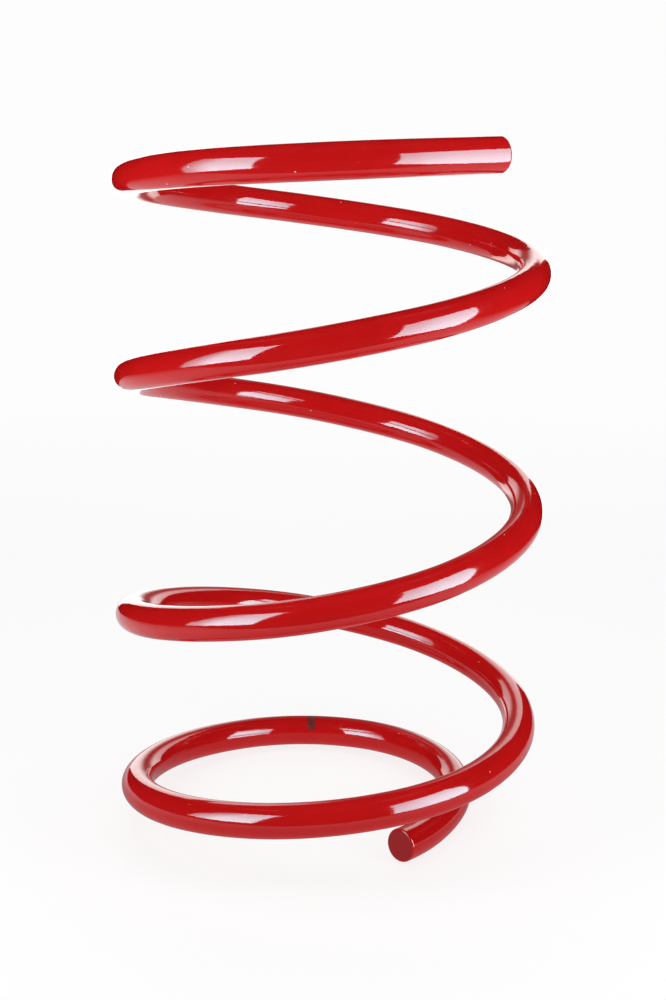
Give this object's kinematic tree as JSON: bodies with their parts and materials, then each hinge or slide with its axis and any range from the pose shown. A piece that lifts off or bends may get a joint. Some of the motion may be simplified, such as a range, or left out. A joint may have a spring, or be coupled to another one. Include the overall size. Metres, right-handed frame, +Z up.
{
  "type": "coil spring",
  "caption": "Red powder-coated helical compression spring for a suspension strut, with a small pigtail coil below and an open cut end above, that shortens along its axis.",
  "frame": {"origin": "on the coils' axis, level with the lowest point of the lower coil", "axes": "+Z up the coils' axis towards the open upper end, -Y towards the front, +X to the right seen from the front; both cut ends are at the front right"},
  "size_m": [0.159, 0.1591, 0.2551],
  "materials": {
    "powder_coat": "gloss"
  },
  "bodies": {
    "lower_seat_coil": {"lower_end": "powder_coat", "coil_1_right": "powder_coat", "coil_1_back_right": "powder_coat", "coil_1_back": "powder_coat"},
    "left_of_coil_1": {"coil_1_back_left": "powder_coat", "coil_1_left": "powder_coat"},
    "front_of_coil_1": {"coil_1_front_left": "powder_coat", "coil_1_front": "powder_coat"},
    "right_of_coil_2": {"coil_1_front_right": "powder_coat", "coil_2_right": "powder_coat"},
    "back_of_coil_2": {"coil_2_back_right": "powder_coat", "coil_2_back": "powder_coat"},
    "left_of_coil_2": {"coil_2_back_left": "powder_coat", "coil_2_left": "powder_coat"},
    "front_of_coil_2": {"coil_2_front_left": "powder_coat", "coil_2_front": "powder_coat"},
    "right_of_coil_3": {"coil_2_front_right": "powder_coat", "coil_3_right": "powder_coat"},
    "back_of_coil_3": {"coil_3_back_right": "powder_coat", "coil_3_back": "powder_coat"},
    "left_of_coil_3": {"coil_3_back_left": "powder_coat", "coil_3_left": "powder_coat"},
    "front_of_coil_3": {"coil_3_front_left": "powder_coat", "coil_3_front": "powder_coat"},
    "right_of_coil_4": {"coil_3_front_right": "powder_coat", "coil_4_right": "powder_coat"},
    "back_of_coil_4": {"coil_4_back_right": "powder_coat", "coil_4_back": "powder_coat"},
    "upper_seat_coil": {"coil_4_back_left": "powder_coat", "coil_4_left": "powder_coat", "coil_4_front_left": "powder_coat", "coil_4_front": "powder_coat", "upper_end": "powder_coat"}
  },
  "joints": [
    {"name": "twist_at_left_of_coil_1", "type": "hinge", "parent": "lower_seat_coil", "child": "left_of_coil_1", "pos_m": [-0.03152, 0.05617, 0.00771], "axis": [0.9238, 0.3827, -0.0122], "range_deg": [0, 4.25], "stiffness_Nm_per_rad": 1340},
    {"name": "twist_at_front_of_coil_1", "type": "hinge", "parent": "left_of_coil_1", "child": "front_of_coil_1", "pos_m": [-0.06633, -0.02999, 0.0166], "axis": [-0.3786, 0.9139, -0.1465], "range_deg": [0, 4.25], "stiffness_Nm_per_rad": 1340},
    {"name": "compression", "type": "hinge", "parent": "front_of_coil_1", "child": "right_of_coil_2", "pos_m": [0.02804, -0.06799, 0.03062], "axis": [-0.9212, -0.3816, -0.0757], "range_deg": [0, 8.5], "stiffness_Nm_per_rad": 1340},
    {"name": "twist_at_back_of_coil_2", "type": "hinge", "parent": "right_of_coil_2", "child": "back_of_coil_2", "pos_m": [0.06787, 0.02803, 0.0423], "axis": [0.3798, -0.9169, -0.1231], "range_deg": [0, 8.5], "stiffness_Nm_per_rad": 1340},
    {"name": "twist_at_left_of_coil_2", "type": "hinge", "parent": "back_of_coil_2", "child": "left_of_coil_2", "pos_m": [-0.02813, 0.0679, 0.06114], "axis": [0.9088, 0.3765, -0.1797], "range_deg": [0, 8.5], "stiffness_Nm_per_rad": 1340},
    {"name": "twist_at_front_of_coil_2", "type": "hinge", "parent": "left_of_coil_2", "child": "front_of_coil_2", "pos_m": [-0.06791, -0.02814, 0.08339], "axis": [-0.3765, 0.9088, -0.1797], "range_deg": [0, 8.5], "stiffness_Nm_per_rad": 1340},
    {"name": "twist_at_right_of_coil_3", "type": "hinge", "parent": "front_of_coil_2", "child": "right_of_coil_3", "pos_m": [0.02813, -0.06791, 0.10564], "axis": [-0.9088, -0.3765, -0.1797], "range_deg": [0, 8.5], "stiffness_Nm_per_rad": 1340},
    {"name": "twist_at_back_of_coil_3", "type": "hinge", "parent": "right_of_coil_3", "child": "back_of_coil_3", "pos_m": [0.06791, 0.02812, 0.12789], "axis": [0.3765, -0.9088, -0.1797], "range_deg": [0, 8.5], "stiffness_Nm_per_rad": 1340},
    {"name": "twist_at_left_of_coil_3", "type": "hinge", "parent": "back_of_coil_3", "child": "left_of_coil_3", "pos_m": [-0.02813, 0.0679, 0.15014], "axis": [0.9088, 0.3765, -0.1797], "range_deg": [0, 8.5], "stiffness_Nm_per_rad": 1340},
    {"name": "twist_at_front_of_coil_3", "type": "hinge", "parent": "left_of_coil_3", "child": "front_of_coil_3", "pos_m": [-0.06791, -0.02814, 0.17239], "axis": [-0.3765, 0.9088, -0.1797], "range_deg": [0, 8.5], "stiffness_Nm_per_rad": 1340},
    {"name": "twist_at_right_of_coil_4", "type": "hinge", "parent": "front_of_coil_3", "child": "right_of_coil_4", "pos_m": [0.02813, -0.06791, 0.19449], "axis": [-0.9096, -0.3768, -0.1752], "range_deg": [0, 8.5], "stiffness_Nm_per_rad": 1340},
    {"name": "twist_at_back_of_coil_4", "type": "hinge", "parent": "right_of_coil_4", "child": "back_of_coil_4", "pos_m": [0.06785, 0.02815, 0.21406], "axis": [0.3788, -0.9145, -0.1421], "range_deg": [0, 4.25], "stiffness_Nm_per_rad": 1340},
    {"name": "twist_at_upper_seat_coil", "type": "hinge", "parent": "back_of_coil_4", "child": "upper_seat_coil", "pos_m": [-0.0282, 0.06789, 0.22945], "axis": [0.9184, 0.3804, -0.1085], "range_deg": [0, 4.25], "stiffness_Nm_per_rad": 1340}
  ],
  "couplings": [
    {"joint": "twist_at_left_of_coil_1", "follows": "compression", "ratio": 0.5},
    {"joint": "twist_at_front_of_coil_1", "follows": "compression", "ratio": 0.5},
    {"joint": "twist_at_back_of_coil_2", "follows": "compression", "ratio": 1},
    {"joint": "twist_at_left_of_coil_2", "follows": "compression", "ratio": 1},
    {"joint": "twist_at_front_of_coil_2", "follows": "compression", "ratio": 1},
    {"joint": "twist_at_right_of_coil_3", "follows": "compression", "ratio": 1},
    {"joint": "twist_at_back_of_coil_3", "follows": "compression", "ratio": 1},
    {"joint": "twist_at_left_of_coil_3", "follows": "compression", "ratio": 1},
    {"joint": "twist_at_front_of_coil_3", "follows": "compression", "ratio": 1},
    {"joint": "twist_at_right_of_coil_4", "follows": "compression", "ratio": 1},
    {"joint": "twist_at_back_of_coil_4", "follows": "compression", "ratio": 0.5},
    {"joint": "twist_at_upper_seat_coil", "follows": "compression", "ratio": 0.5}
  ]
}
